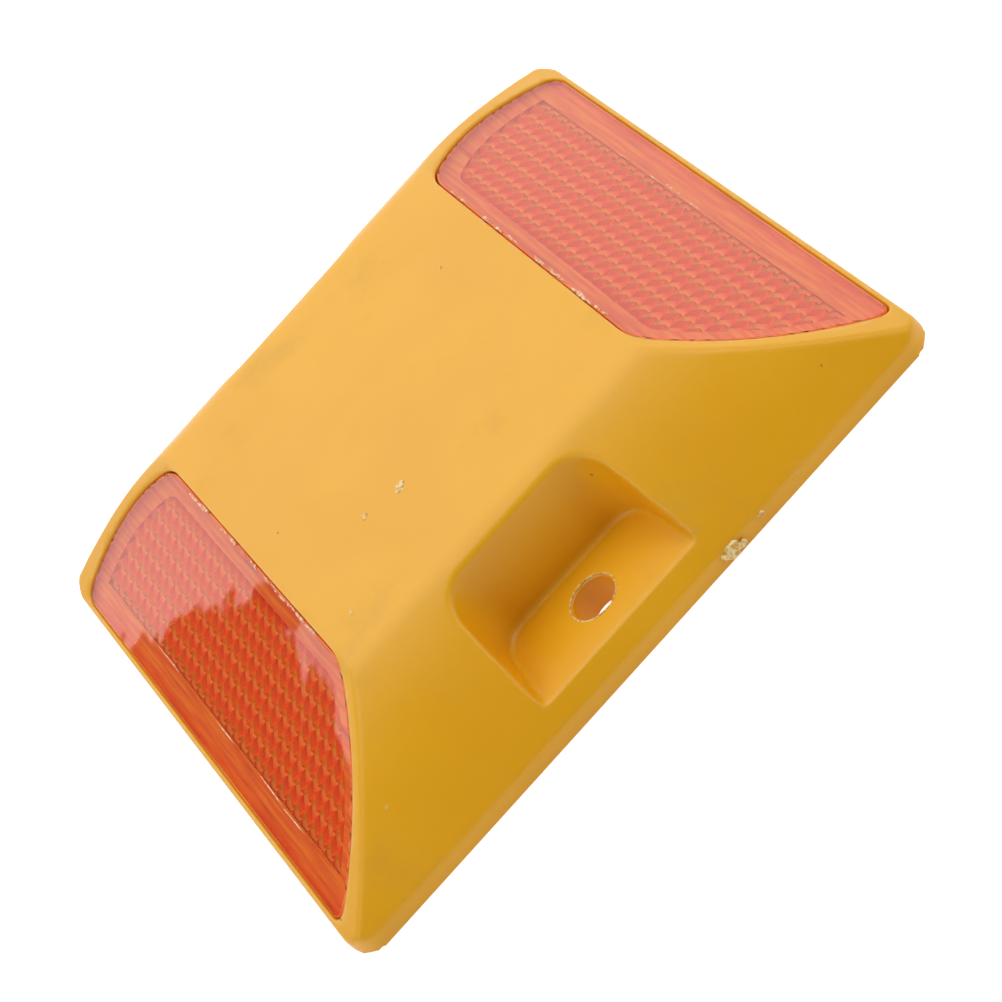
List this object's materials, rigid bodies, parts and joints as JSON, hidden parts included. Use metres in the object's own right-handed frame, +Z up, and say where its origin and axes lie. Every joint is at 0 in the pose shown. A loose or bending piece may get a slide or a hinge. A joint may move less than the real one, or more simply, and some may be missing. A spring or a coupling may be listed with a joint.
{
  "type": "raised pavement marker",
  "caption": "Low amber road marker with a corner-cube reflector on each approach face and a finger pocket with a screw hole on each side.",
  "frame": {"origin": "centre of the flat base, on the road surface", "axes": "+X along the traffic through both reflectors, +Y across through both finger pockets, +Z up from the road"},
  "size_m": [0.1016, 0.1016, 0.0178],
  "materials": {
    "shell_plastic": "satin moulded amber ABS",
    "potting_resin": "coarse sand-filled resin",
    "lens_acrylic": "clear deep amber acrylic",
    "backing_plastic": "matte moulded amber ABS"
  },
  "bodies": {
    "root": {"housing_shell": "shell_plastic", "potting_fill": "potting_resin", "lens_right": "lens_acrylic", "lens_left": "lens_acrylic", "lens_backing_right": "backing_plastic", "lens_backing_left": "backing_plastic"}
  },
  "joints": []
}
